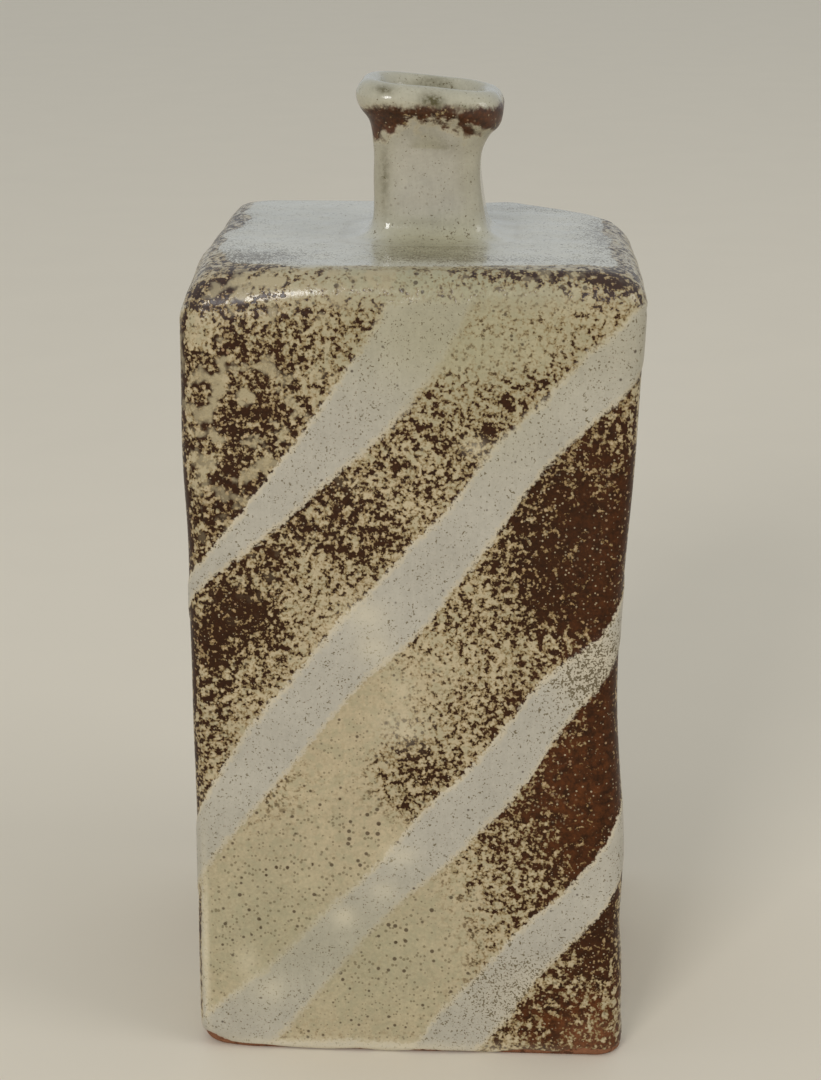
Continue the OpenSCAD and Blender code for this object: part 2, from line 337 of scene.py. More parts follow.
def smooth_line(points, steps):
    """A smooth line through the points, with the given number of steps between two of them."""
    p = np.array(points, float)
    ends = np.vstack([2 * p[0] - p[1], p, 2 * p[-1] - p[-2]])
    t = (np.arange(steps) / steps)[:, None]
    rows = []
    for before, a, b, after in zip(ends, ends[1:], ends[2:], ends[3:]):
        rows.append(a + 0.5 * t * (b - before + t * (2 * before - 5 * a + 4 * b - after
                                                     + t * (3 * (a - b) + after - before))))
    return np.vstack(rows + [p[-1:]])


def waves(points, length, seed, count=7):
    """Smooth unevenness from -1 to 1 or so: plane waves of about the given length."""
    dice = np.random.default_rng(seed)
    total = np.zeros(points.shape[:-1])
    for _ in range(count):
        way = dice.normal(size=3)
        way *= 2 * math.pi / (length * dice.uniform(0.7, 1.4) * np.linalg.norm(way))
        total += np.sin(points @ way + dice.uniform(0, 2 * math.pi))
    return total / math.sqrt(count)


# ---- the skin ----

def ring_pattern():
    """One ring's points as shares of its half sizes and its corner radius.

    The ring starts at the middle of the front left corner and runs along the front, the
    right side, the back and the left side. Returns the corner shares, the radius shares,
    the place across each point's own side, and the side's number.
    """
    turn = np.arange(ARC_POINTS) / ARC_POINTS
    first = np.radians(-135 + 45 * turn)
    last = np.radians(-90 + 45 * turn)
    along = np.linspace(-1, 1, SIDE_POINTS, endpoint=False)
    flat = np.stack([along, np.full(SIDE_POINTS, -1.0)], 1)
    corner = np.vstack([np.tile([-1.0, -1.0], (ARC_POINTS, 1)), flat,
                        np.tile([1.0, -1.0], (ARC_POINTS, 1))])
    radius = np.vstack([np.stack([np.cos(first), np.sin(first)], 1),
                        np.tile([0.0, -1.0], (SIDE_POINTS, 1)),
                        np.stack([np.cos(last), np.sin(last)], 1)])
    across = np.concatenate([-1 + (1 - FLAT_SHARE) * turn, FLAT_SHARE * along,
                             FLAT_SHARE + (1 - FLAT_SHARE) * turn])
    corners, radii = [corner], [radius]
    for _ in range(3):
        corners.append(corners[-1] @ np.array([[0, 1], [-1, 0]]))
        radii.append(radii[-1] @ np.array([[0, 1], [-1, 0]]))
    return (np.vstack(corners), np.vstack(radii), np.tile(across * HALF_X, 4),
            np.repeat(np.arange(4), QUARTER))


def body_rings(shape):
    """Rows of (half x, half y, corner radius, centre x, z) from the foot to the roof, and marks."""
    corner = shape.corner_radius / MM
    edge = shape.shoulder_radius / MM
    bevel = shape.foot_bevel / MM
    rows = []

    def add(inset, z, radius=corner):
        rows.append((HALF_X - inset, HALF_Y - inset, radius, 0.0, z))

    for share in np.linspace(0.06, 0.98, UNDERFOOT_RINGS):
        rows.append(((HALF_X - bevel) * share, (HALF_Y - bevel) * share, corner * share, 0.0, 0.0))
    for angle in np.radians(np.linspace(0, 90, BEVEL_RINGS)):
        add(bevel * (1 - math.sin(angle)), bevel * (1 - math.cos(angle)))
    for z in np.linspace(bevel, BASE_TOP, BASE_RINGS)[1:]:
        add(0, z)
    marks = {"base_top": len(rows) - 1}
    for z in np.linspace(BASE_TOP, WALL_TOP, WALL_RINGS)[1:]:
        add(0, z)
    marks["wall_top"] = len(rows) - 1
    for z in np.linspace(WALL_TOP, ROOF - edge, EDGE_RINGS)[1:]:
        add(0, z)
    for angle in np.radians(np.linspace(0, 90, ROUNDING_RINGS))[1:]:
        add(edge * (1 - math.cos(angle)), ROOF - edge * (1 - math.sin(angle)))
    half_x, half_y = NECK_HALF_X + COIL_OUT, NECK_HALF_Y + COIL_OUT
    for share in np.linspace(0, 1, ROOF_RINGS)[1:-1]:
        rows.append((
            HALF_X - edge + (half_x - HALF_X + edge) * share,
            HALF_Y - edge + (half_y - HALF_Y + edge) * share,
            corner + (NECK_OUTLINE[0][2] - corner) * share, NECK_X * share, ROOF))
    marks["root"] = len(rows)
    return rows, marks


def neck_rings(rows, marks):
    """Adds the rings of the root coil, the neck, the lip and the bore."""
    outline = smooth_line(NECK_OUTLINE, OUTLINE_RINGS)
    for out, up, radius in outline:
        rows.append((NECK_HALF_X + out, NECK_HALF_Y + out, radius, NECK_X, ROOF + up))
    marks["coil_top"] = marks["root"] + COIL_STEPS * OUTLINE_RINGS
    marks["neck_top"] = marks["root"] + NECK_STEPS * OUTLINE_RINGS
    marks["bore"] = len(rows) - 1
    half_x, half_y, radius, centre, z = rows[-1]
    depths = np.concatenate([np.linspace(0, 3, BORE_STEPS + 1), [z - NECK_TOP]])
    rows += [(half_x, half_y, radius, centre, z - depth) for depth in depths[1:]]
    marks["end"] = len(rows) - 1


def round_bore(p, first):
    """Draws the last rings in from the squared mouth to the round bore."""
    mouth = p[first]
    angle = np.arctan2(mouth[:, 1], mouth[:, 0] - NECK_X)
    bore = np.stack([NECK_X + BORE_R * np.cos(angle), BORE_R * np.sin(angle)], 1)
    share = np.minimum(np.arange(len(p) - first) / BORE_STEPS, 1)[:, None, None]
    p[first:, :, :2] = mouth[:, :2] + (bore - mouth[:, :2]) * share


def wall_bow(z):
    """How far the right wall has sunk in at a height."""
    waist = np.where(z > 90, bump(z, 90, 40), bump(z, 90, 36))
    return WALL_BOW * waist + 1.1 * bump(z, 31, 11) + 0.4 * bump(z, 8, 8)


def hand_shape(p, shape):
    """Bows, sags and leans the regular rings the way the clay has moved.

    The right wall has sunk in at its waist, the shoulder sags most at its back right corner,
    the foot's front left corner is worn, and the lip leans and droops to the right.
    """
    x, y, z = p[..., 0], p[..., 1], p[..., 2]
    right, left = ease(18, HALF_X, x), ease(18, HALF_X, -x)
    belly = 0.25 + 0.3 * bump(z, 146, 20) + 0.7 * ease(120, 80, z)
    shift = -right * wall_bow(z) - left * belly
    top = ease(WALL_TOP - 6, ROOF, z) * ease(15, 30, np.maximum(abs(x), abs(y)))
    back_right, front_left = ease(60, 90, x + y), ease(62, 92, -x - y)
    worn = 1.5 * ease(80, 93, -x - y) * bump(z, 0, 3.5)
    sag = top * (1.0 * ease(34, HALF_X, x) + 0.2 * ease(30, HALF_Y, y) + 5.0 * back_right
                 + 2.0 * front_left)
    tuck = top * (4.6 * back_right - 1.6 * front_left)

    lip = ease(ROOF + 14, ROOF + 27, z) * (z > ROOF)
    off = x - NECK_X
    tilt = math.tan(shape.lip_tilt) * lip * off
    droop = bump(z, ROOF + 26, 6) * (1.3 * ease(4, 14, off) + 0.2 * ease(4, 14, -off)) + 0.3 * lip
    lean = -0.6 * bump(z, ROOF + 14, 8) * (z > ROOF + 0.5)
    return np.stack([x + shift + lean - tuck + worn, y - tuck + worn, z - sag - tilt - droop], -1)


def facing(p):
    """Outward directions of the skin."""
    round_way = np.roll(p, -1, 1) - np.roll(p, 1, 1)
    up_way = np.gradient(p, axis=0)
    n = np.cross(round_way, up_way)
    return n / np.maximum(np.linalg.norm(n, axis=-1, keepdims=True), 1e-9)


def pools(across, height, places):
    """Soft round patches on the unrolled body: (across, height, reach across, reach up, amount)."""
    total = np.zeros(across.shape)
    for place_u, place_v, reach_u, reach_v, amount in places:
        off = (across - place_u + PERIMETER / 2) % PERIMETER - PERIMETER / 2
        total += amount * np.exp(-((off / reach_u) ** 2 + ((height - place_v) / reach_v) ** 2))
    return total


def stripe_depth(across, height):
    """Distance in from the nearest stripe's edge, negative outside it."""
    depth = np.full(across.shape, -30.0)
    for stripe in STRIPES:
        u, v, half = smooth_line(stripe, 10).T
        lean = np.cos(np.arctan(np.gradient(v, u)))
        for lap in (-PERIMETER, 0, PERIMETER):
            place = across + lap
            near = (place > u[0]) & (place < u[-1])
            off = abs(height - np.interp(place, u, v)) * np.interp(place, u, lean)
            depth = np.maximum(depth, np.where(near, np.interp(place, u, half) - off, -30.0))
    return depth


def spots(x, y, places):
    """Soft round patches on a plan or a face: (x, y, reach x, reach y, amount)."""
    total = np.zeros(x.shape)
    for place_x, place_y, reach_x, reach_y, amount in places:
        total += amount * np.exp(-((x - place_x) / reach_x) ** 2 - ((y - place_y) / reach_y) ** 2)
    return total


def front_pool(x, y):
    """The olive glaze that has pooled on the shoulder against the front of the neck."""
    across, ahead = (x - NECK_X - 1) / 13, np.minimum(y + 26, 0) / 12
    return np.exp(-across ** 4 - ahead ** 4) * ease(-6, -11, y)


def body_fields(p, u, v):
    """The glaze on the walls, the foot and the shoulder."""
    x, y, z = p[..., 0], p[..., 1], p[..., 2]
    on_roof = v > ROOF + 2
    from_front = (u + PERIMETER / 2) % PERIMETER - PERIMETER / 2
    off_front = ease(44, 60, abs(from_front))

    # Slip: the stripes, the foot's rim, the front left edge and the shoulder, whichever is deepest.
    stripe_end = WALL_TOP + 1.5 + 1.2 * waves(p, 14, 16) - v
    stripes = np.minimum(stripe_depth(u, v) + 0.35 * waves(p, 26, 11), 1.5 * stripe_end)
    foot_slip = pools(u, v, FOOT_SLIP) - v
    from_left_edge = abs((u + SIDE / 2 + PERIMETER / 2) % PERIMETER - PERIMETER / 2)
    edge_slip = 0.8 + 0.6 * waves(p, 11, 19) - from_left_edge - 4 * ease(48, 66, v)
    rim = v - (ROOF + 3.2) + 1.3 * waves(p, 15, 12) - spots(x, y, RIM_PATCHES)

    # Iron: gathered in pools, and along the upright edges where the glaze has run thin.
    iron = IRON_EVERYWHERE + pools(u, v, IRON_POOLS) + 0.12 * waves(p, 55, 14) * off_front
    edge_iron = 0.5 + 0.45 * ease(30, 80, v) + 0.3 * waves(p, 18, 18)
    past_corner = (u + SIDE) % SIDE - SIDE / 2
    past_corner += 1.6 * bump(from_front, -SIDE / 2, 9) - 1.1 * bump(from_front, SIDE / 2, 9)
    iron = np.maximum(iron, edge_iron * bump(past_corner, 0, 1.7) * ease(ROOF - 1, ROOF - 8, v))

    thin = pools(u, v, THIN_POOLS) * ~on_roof
    thin = thin + (spots(x, y, ROOF_SPECKLES) + 0.35 * front_pool(x, y)) * on_roof
    olive = pools(u, v, OLIVE_POOLS) * ease(ROOF + 6, ROOF + 1, v)
    olive = olive + 1.1 * front_pool(x, y) * on_roof
    foot_line = 0.5 + pools(u, v, FOOT_POOLS) + 0.4 * waves(p, 12, 15)
    return {
        "slip_depth": np.maximum.reduce([stripes, foot_slip, edge_slip, rim]),
        # Butter glaze in dimples, with a painted highlight of its sheen.
        "glow_share": pools(u, v, POOLED_GLAZE_AND_SHEEN),
        "grey_share": ease(ROOF - 1, ROOF + 5, v),
        "iron_share": iron,
        "red_share": pools(u, v, RED_POOLS),
        "olive_and_shade_share": olive,
        "milk_share": pools(u, v, MILK_POOLS),
        "stain_and_shade_share": spots(x, y, POOL_STREAKS) * on_roof * front_pool(x, y),
        "thin_and_shade_share": thin,
        "bare_share": ease(0.5, -0.5, z - foot_line),
    }


def neck_fields(p, height, gap):
    """The glaze on the neck, the lip and down the bore; gap is the distance from a side's edge."""
    x, y, z = p[..., 0], p[..., 1], p[..., 2]
    off = x - NECK_X
    corner, front = bump(gap, 0, 14), y < 0

    # The brown band under the lip, which runs further down at the corners.
    run = 4.4 - 1.7 * ease(-6, 6, off)
    band_low = ROOF + 26.0 - run * corner + 1.2 * waves(p, 3.5, 13)
    band_high = ROOF + 28.4 + 0.5 * waves(p, 6, 17)
    low_edge = (band_low - z) * (0.42 + 0.5 * corner)

    # Inside the mouth the glaze is laid darker. Part of this is the glaze's own dark smudges, and part
    # is painted shade standing in for the shade down in the mouth.
    inside = ease(BORE_R + 4.2, BORE_R + 2.2, np.hypot(off, y)) * (height > ROOF + 20)
    on_lip, root = ease(ROOF + 27, ROOF + 30, height), ease(ROOF + 8, ROOF + 1, height)
    # Painted shade: the extra 0.35 of olive towards the neck's upright corners stands in for the shade
    # along its sides. The 0.18 tint and the pool at the root are the glaze's own colour.
    green = (0.18 + 0.35 * corner) * (1 - root) * (1 - on_lip) + 1.0 * front_pool(x, y) * root
    green += 0.6 * on_lip * (1 - inside) + 0.8 * inside
    none = np.zeros(gap.shape)
    # Smudges on the lip and stains on the neck, with painted shade in the streaks along the neck's
    # sides.
    smudges_and_shade = spots(x, height, LIP_SMUDGES) + spots(x, height, NECK_STAINS_AND_SHADE)
    return {
        "slip_depth": np.where(z < ROOF + 27.2, low_edge, z - band_high),
        "glow_share": none,
        "grey_share": 0.55 * on_lip + root,
        "iron_share": 0.98 + 0.25 * corner,
        "red_share": none + 0.55,
        "olive_and_shade_share": green,
        "milk_share": none,
        "stain_and_shade_share": smudges_and_shade * front + 0.5 * inside * ease(-0.2, 0.6, waves(p, 9, 20)),
        "thin_and_shade_share": -0.14 + 0.2 * inside + 0.2 * root * front_pool(x, y),
        "bare_share": none,
    }


def skin_fields(p, u, v, gap, marks):
    """What the glaze does at each point: named shares that the materials read."""
    body, neck = body_fields(p, u, v), neck_fields(p, v, gap)
    above = ease(-2, 4, np.arange(len(p)) - marks["root"])[:, None]
    return {name: np.clip(body[name] + (neck[name] - body[name]) * above, -30, 30)
            for name in body}


def build_skin(shape):
    """The whole outer skin: its points, directions, fields and the rings where pieces meet."""
    rows, marks = body_rings(shape)
    neck_rings(rows, marks)
    half_x, half_y, radius, centre, z = np.array(rows).T[:, :, None]
    corner, round_share, across, side = ring_pattern()
    p = np.stack([
        centre + corner[:, 0] * (half_x - radius) + round_share[:, 0] * radius,
        corner[:, 1] * (half_y - radius) + round_share[:, 1] * radius,
        np.broadcast_to(z, (len(rows), len(corner)))], -1)
    round_bore(p, marks["bore"])
    p = hand_shape(p, shape)

    # Height of each ring, measured on along the skin where it turns in over the shoulder.
    number = np.arange(len(rows))
    steps = np.hypot(np.diff(half_x[:, 0]), np.diff(z[:, 0]))
    path = np.concatenate([[0], np.cumsum(steps)])
    turn_in, root = marks["wall_top"], marks["root"]
    over = z[turn_in, 0] + path - path[turn_in]
    climb = np.where((number <= turn_in) | (number > root), z[:, 0], over)
    u, v = np.broadcast_arrays(across + SIDE * side, climb[:, None])
    gap = np.broadcast_to(HALF_X - abs(across), u.shape)
    fields = skin_fields(p, u, v, gap, marks)

    n = facing(p)
    on_body = (number <= root)[:, None]
    on_side = on_body & (v < ROOF + 2)
    wander = shape.unevenness / MM * (waves(p, 62, 1) + 0.35 * waves(p, 21, 2))
    raised = shape.slip_thickness / MM * ease(-0.9, 0.9, fields["slip_depth"])
    raised = raised - 0.2 * fields["glow_share"]
    joint = 0.22 * bump(v, WALL_TOP, 0.8) * (0.6 + 0.4 * waves(p, 30, 3))
    lift = np.where(on_side, wander - joint, 0.3 * wander + 0.06 * waves(p, 9, 4))
    lift += np.where(on_side, raised, 0.4 * raised) - 0.3 * fields["bare_share"]
    p = p + n * (lift * (z > 0.1))[..., None]
    return {"points": p, "facing": facing(p), "fields": fields, "marks": marks}


_skins = {}


def skin():
    """The skin, built once and shared by all the pieces."""
    if "bottle" not in _skins:
        _skins["bottle"] = build_skin(bpy.context.scene.bottle_shape)
    return _skins["bottle"]


# ---- meshes ----

class Patch:
    """Points and faces of one piece, gathered in order. The first points are the visible skin.

    They keep the whole skin's normals, so that the pieces meet without a shaded line.
    """

    def __init__(self, skin_data, rings, columns):
        self.skin = skin_data
        self.rings, self.columns = rings, columns
        pick = np.ix_(rings, columns)
        self.points = [skin_data["points"][pick].reshape(-1, 3)]
        self.normals = skin_data["facing"][pick].reshape(-1, 3)
        self.fields = {k: f[pick].reshape(-1) for k, f in skin_data["fields"].items()}
        self.count = len(self.normals)
        self.faces = []

    def grid(self, rows, columns, closed):
        """Faces between the skin's own points."""
        index = np.arange(rows * columns).reshape(rows, columns)
        side = np.roll(index, -1, 1) if closed else index[:, 1:]
        here = index if closed else index[:, :-1]
        quads = np.stack([here[:-1], side[:-1], side[1:], here[1:]], -1)
        self.faces += quads.reshape(-1, 4).tolist()

    def add(self, points):
        """Adds hidden points and returns their numbers."""
        start = self.count
        self.points.append(np.array(points, float).reshape(-1, 3))
        self.count += len(self.points[-1])
        return np.arange(start, self.count)

    def strip(self, low, high, closed=True):
        """A strip of faces between two lines of points."""
        ends = range(len(low)) if closed else range(len(low) - 1)
        for i in ends:
            j = (i + 1) % len(low)
            self.faces.append([int(low[i]), int(low[j]), int(high[j]), int(high[i])])

    def fan(self, ring, middle):
        """Triangles from a ring of points to one point in its middle."""
        for i in range(len(ring)):
            self.faces.append([int(ring[i]), int(ring[(i + 1) % len(ring)]), int(middle)])

    def mesh(self, name):
        """The finished mesh, with the fields as attributes and the skin's own normals."""
        points = np.vstack(self.points) * MM
        data = bpy.data.meshes.new(name)
        data.from_pydata(points.tolist(), [], self.faces)
        shown = len(self.normals)
        for field, values in self.fields.items():
            full = np.zeros(len(points), np.float32)
            full[:shown] = values
            data.attributes.new(field, "FLOAT", "POINT").data.foreach_set("value", full)
        corners = np.zeros(len(data.loops), int)
        data.loops.foreach_get("vertex_index", corners)
        flat = np.zeros(len(data.polygons) * 3)
        data.polygons.foreach_get("normal", flat)
        counts = [len(face) for face in self.faces]
        loop_normals = np.repeat(flat.reshape(-1, 3), counts, 0)
        on_skin = corners < shown
        loop_normals[on_skin] = self.normals[corners[on_skin]]
        data.polygons.foreach_set("use_smooth", [True] * len(data.polygons))
        data.normals_split_custom_set(loop_normals.tolist())
        data.update()
        return data


def add_object(name, data):
    thing = bpy.data.objects.new(name, data)
    bpy.context.scene.collection.objects.link(thing)
    return thing


def place_piece(name, data, material, nodes):
    """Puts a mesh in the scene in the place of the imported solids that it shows."""
    piece = add_object(name, data)
    data.materials.append(material)
    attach(piece, BODY)
    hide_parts(*nodes)
    return piece


def whole_rings(first, last):
    """A patch of whole rings of the skin, and its points' numbers ring by ring."""
    data = skin()
    rings = np.arange(first, last + 1)
    columns = np.arange(data["points"].shape[1])
    patch = Patch(data, rings, columns)
    patch.grid(len(rings), len(columns), True)
    numbers = np.arange(len(rings) * len(columns)).reshape(len(rings), -1)
    return patch, numbers


def round_ring(radius, z, steps):
    """A circle about the neck's axis that starts where the skin's rings start."""
    angle = np.radians(-135) + np.arange(steps) * 2 * math.pi / steps
    return np.stack([NECK_X + radius * np.cos(angle), radius * np.sin(angle),
                     np.full(steps, z)], 1)


def base_mesh():
    marks = skin()["marks"]
    patch, numbers = whole_rings(0, marks["base_top"])
    low, high = patch.add([(0, 0, 0), (0, 0, BASE_TOP)])
    patch.fan(numbers[-1], high)
    patch.fan(numbers[0][::-1], low)
    return patch.mesh("base")


def wall_mesh(side):
    """One wall: its stretch of the skin, closed behind by a plain inner face."""
    data = skin()
    marks = data["marks"]
    rings = np.arange(marks["base_top"], marks["wall_top"] + 1)
    total = data["points"].shape[1]
    columns = (np.arange(QUARTER + 1) + side * QUARTER) % total
    patch = Patch(data, rings, columns)
    patch.grid(len(rings), len(columns), False)
    numbers = np.arange(len(rings) * len(columns)).reshape(len(rings), -1)

    z = data["points"][rings, columns[0], 2]
    half = HALF_X - WALL_THICK
    left, right = -half + 0 * z, half - wall_bow(z)
    corners = [(left, left), (right, left), (right, -left), (left, -left)]
    start = patch.add(np.stack([*corners[side], z], 1))
    end = patch.add(np.stack([*corners[(side + 1) % 4], z], 1))
    patch.strip(start, end, False)
    patch.strip(numbers[:, 0], start, False)
    patch.strip(end, numbers[:, -1], False)
    patch.faces.append([*map(int, numbers[-1]), int(end[-1]), int(start[-1])])
    patch.faces.append([*map(int, numbers[0][::-1]), int(start[0]), int(end[0])])
    return patch.mesh("wall")


def close_tube(patch, lines):
    """Closes a tube of skin through hidden lines of points, each a whole ring."""
    for low, high in zip(lines, lines[1:]):
        patch.strip(low, high)


def shoulder_mesh():
    marks = skin()["marks"]
    patch, numbers = whole_rings(marks["wall_top"], marks["root"])
    steps = numbers.shape[1]
    hole_top = patch.add(round_ring(BORE_R + 0.5, ROOF, steps))
    hole_low = patch.add(round_ring(BORE_R + 0.5, WALL_TOP, steps))
    close_tube(patch, [numbers[-1], hole_top, hole_low, numbers[0]])
    return patch.mesh("shoulder")


def neck_foot():
    """The neck's outline where it stands on the shoulder, hidden inside the root coil."""
    line = skin()["points"][skin()["marks"]["coil_top"]].copy()
    line[:, 2] = ROOF
    return line


def coil_mesh():
    marks = skin()["marks"]
    patch, numbers = whole_rings(marks["root"], marks["coil_top"])
    foot = patch.add(neck_foot())
    close_tube(patch, [numbers[-1], foot, numbers[0]])
    return patch.mesh("root_coil")


def neck_mesh():
    marks = skin()["marks"]
    patch, numbers = whole_rings(marks["coil_top"], marks["neck_top"])
    steps = numbers.shape[1]
    bore_top = patch.add(round_ring(BORE_R, NECK_TOP, steps))
    bore_low = patch.add(round_ring(BORE_R, ROOF, steps))
    foot = patch.add(neck_foot())
    close_tube(patch, [numbers[-1], bore_top, bore_low, foot, numbers[0]])
    return patch.mesh("neck")


def lip_mesh():
    marks = skin()["marks"]
    patch, numbers = whole_rings(marks["neck_top"], marks["end"])
    close_tube(patch, [numbers[-1], numbers[0]])
    return patch.mesh("lip")


# ---- materials ----

class Graph:
    """Short ways to lay out one material's nodes."""

    def __init__(self, name):
        self.material = bpy.data.materials.new(name)
        self.material.use_nodes = True
        self.tree = self.material.node_tree
        self.shader = self.tree.nodes["Principled BSDF"]
        place = self.node("ShaderNodeTexCoord").outputs["Object"]
        self.place = self.vector("SCALE", place, scale=1 / MM)

    def node(self, kind, **settings):
        node = self.tree.nodes.new(kind)
        for key, value in settings.items():
            setattr(node, key, value)
        return node

    def feed(self, socket, value):
        if isinstance(value, bpy.types.NodeSocket):
            self.tree.links.new(value, socket)
        elif socket.type == "RGBA":
            socket.default_value = (*value, 1)
        else:
            socket.default_value = value

    def vector(self, operation, a, b=None, scale=None):
        node = self.node("ShaderNodeVectorMath", operation=operation)
        self.feed(node.inputs[0], a)
        if b is not None:
            self.feed(node.inputs[1], b)
        if scale is not None:
            node.inputs["Scale"].default_value = scale
        return node.outputs[0]

    def math(self, operation, a, b=0.0, clamp=False):
        node = self.node("ShaderNodeMath", operation=operation, use_clamp=clamp)
        self.feed(node.inputs[0], a)
        self.feed(node.inputs[1], b)
        return node.outputs[0]

    def times(self, a, b, clamp=False):
        return self.math("MULTIPLY", a, b, clamp)

    def spread(self, value, amount, middle=0.5):
        """(value - middle) * amount"""
        return self.times(self.math("SUBTRACT", value, middle), amount)

    def total(self, *values):
        """All the values added up."""
        result = values[0]
        for value in values[1:]:
            result = self.math("ADD", result, value)
        return result

    def step(self, value, low, high, out_low=0.0, out_high=1.0):
        """Goes smoothly from out_low to out_high as the value goes from low to high."""
        node = self.node("ShaderNodeMapRange", interpolation_type="SMOOTHSTEP", clamp=True)
        for socket, given in zip(node.inputs, (value, low, high, out_low, out_high)):
            self.feed(socket, given)
        return node.outputs[0]

    def mix(self, a, b, factor):
        """Colour a, turning to colour b as the factor goes from 0 to 1."""
        node = self.node("ShaderNodeMix", data_type="RGBA")
        self.feed(node.inputs[0], factor)
        self.feed(node.inputs[6], a)
        self.feed(node.inputs[7], b)
        return node.outputs[2]

    def blend(self, a, b, factor):
        """The same for two numbers."""
        node = self.node("ShaderNodeMix", data_type="FLOAT")
        self.feed(node.inputs[0], factor)
        self.feed(node.inputs[2], a)
        self.feed(node.inputs[3], b)
        return node.outputs[0]

    def tone(self, colour, factor):
        """The colour made lighter or darker by a factor."""
        return self.vector("MULTIPLY", colour, factor)

    def noise(self, scale, detail=2.0, roughness=0.5, stretch=(1, 1, 1), shift=0.0):
        """A cloudy pattern; the scale is in cycles per millimetre."""
        at = self.vector("MULTIPLY", self.place, stretch)
        if shift:
            at = self.vector("ADD", at, (shift, -shift, 2 * shift))
        node = self.node("ShaderNodeTexNoise")
        for name, value in (("Scale", scale), ("Detail", detail), ("Roughness", roughness)):
            node.inputs[name].default_value = value
        self.feed(node.inputs["Vector"], at)
        return node.outputs[0]

    def dots(self, scale, radius, share, shift=0.0):
        """Round specks: the given share of cells has one, of about the given radius."""
        at = self.vector("ADD", self.place, (shift, shift, -shift))
        node = self.node("ShaderNodeTexVoronoi")
        node.inputs["Scale"].default_value = scale
        self.feed(node.inputs["Vector"], at)
        parts = self.node("ShaderNodeSeparateColor")
        self.feed(parts.inputs[0], node.outputs["Color"])
        size = self.times(self.math("ADD", parts.outputs[1], 0.35), radius * scale)
        inside = self.step(self.math("SUBTRACT", size, node.outputs["Distance"]), -0.02, 0.10)
        chosen = self.math("LESS_THAN", parts.outputs[0], share)
        return self.times(inside, chosen)

    def field(self, name):
        """One of the mesh's named fields."""
        return self.node("ShaderNodeAttribute", attribute_name=name).outputs["Fac"]

    def relief(self, height, strength, distance):
        """Fine relief that only the shading shows: the distance is in millimetres."""
        node = self.node("ShaderNodeBump")
        node.inputs["Strength"].default_value = strength
        node.inputs["Distance"].default_value = distance * MM
        self.feed(node.inputs["Height"], height)
        self.feed(self.shader.inputs["Normal"], node.outputs[0])


class GlazeGraph(Graph):
    """A graph that holds the glaze's fields and patterns, which all its coats share."""

    def __init__(self, name, streak):
        super().__init__(name)
        # The olive, stain and thin fields also carry painted shade along the neck's sides and corners,
        # and inside the mouth.
        self.slip_depth, self.grey = self.field("slip_depth"), self.field("grey_share")
        self.iron, self.red = self.field("iron_share"), self.field("red_share")
        self.olive, self.bare = self.field("olive_and_shade_share"), self.field("bare_share")
        self.milk, self.thin = self.field("milk_share"), self.field("thin_and_shade_share")
        self.glow, self.stain_and_shade = self.field("glow_share"), self.field("stain_and_shade_share")

        # Patterns from coarse to fine.
        self.cloud = self.noise(0.09, 2.0, 0.5, shift=91)
        self.patch = self.noise(0.10, 1.0, 0.5, shift=57)
        self.brush = self.noise(0.24, 3.0, 0.6, shift=12)
        self.float_on = self.noise(0.26, 2.0, 0.5, shift=23)
        self.blotch = self.noise(0.30, 2.0, 0.5, shift=11)
        self.mottle = self.noise(0.5, 3.0, 0.65, shift=44)
        self.clump = self.noise(0.72, 2.0, 0.55)
        self.ragged = self.noise(1.0, 2.0, 0.6, shift=77)
        self.streaks = self.noise(1.0, 3.0, 0.6, stretch=streak, shift=5)
        self.grain = self.noise(1.7, 1.0, 0.5, shift=31)
        self.powder = self.noise(2.3, 1.0, 0.5, shift=63)


def iron_flecks(g):
    """Worms and dots of iron, which thicken to solid brown where more of it gathers.

    Returns the amount of iron, how far it is over the level where a fleck shows, and the fleck.
    """
    level = g.total(g.spread(g.clump, 2.5), g.spread(g.grain, 1.15), 0.5)
    gather = g.math("MINIMUM", g.iron, 0.5)
    uneven = g.times(g.total(g.spread(g.patch, 1.3), g.spread(g.blotch, 1.6)), gather)
    amount = g.math("ADD", g.iron, uneven)
    over = g.math("SUBTRACT", amount, level)
    return amount, over, g.times(g.step(over, -0.10, 0.14), g.step(g.iron, 0.02, 0.26))


def ash_coat(g, look, amount, over):
    """Tan ash glaze, amber round the flecks and olive where it runs thick."""
    ash = g.mix(look.ash, look.blush, g.step(amount, 0.45, 1.0))
    ash = g.mix(ash, look.olive, g.olive)
    ash = g.tone(ash, g.total(g.spread(g.ragged, 0.34), g.spread(g.cloud, 0.30),
                              g.spread(g.grain, 0.30), 1.0))
    ash = g.mix(ash, look.olive, g.step(g.mottle, 0.44, 0.64, 0.0, 0.5))
    halo = g.times(g.step(over, -0.42, 0.0, 0.0, 0.75), g.step(g.iron, 0.0, 0.3, 0.12, 1.0))
    ash = g.mix(ash, look.amber, halo)
    ash = g.mix(ash, look.speck, g.times(g.dots(1.3, 0.30, 0.40, shift=82), 0.60))
    return g.mix(ash, look.iron, g.times(g.dots(0.5, 0.52, 0.42, shift=64), 0.75))


def iron_coat(g, look):
    """The solid brown, redder where it is thin, with granules and grit in it."""
    dark = g.mix(look.iron, look.rust, g.times(g.red, g.step(g.mottle, 0.3, 0.65)))
    dark = g.mix(dark, look.clay, g.step(g.red, 0.75, 1.35, 0.0, 0.6))
    dark = g.tone(dark, g.total(g.spread(g.grain, 1.1), g.spread(g.blotch, 0.7), 1.0))
    granules = g.times(g.dots(0.8, 0.30, 0.45, shift=70), g.step(g.patch, 0.36, 0.62, 0.2, 1.0))
    dark = g.mix(dark, look.blush, g.times(granules, 0.8))
    grit = g.times(g.dots(1.25, 0.21, 0.45, shift=29), g.step(g.blotch, 0.35, 0.6, 0.25, 1.0))
    return g.mix(dark, look.ash, g.times(grit, 0.75))


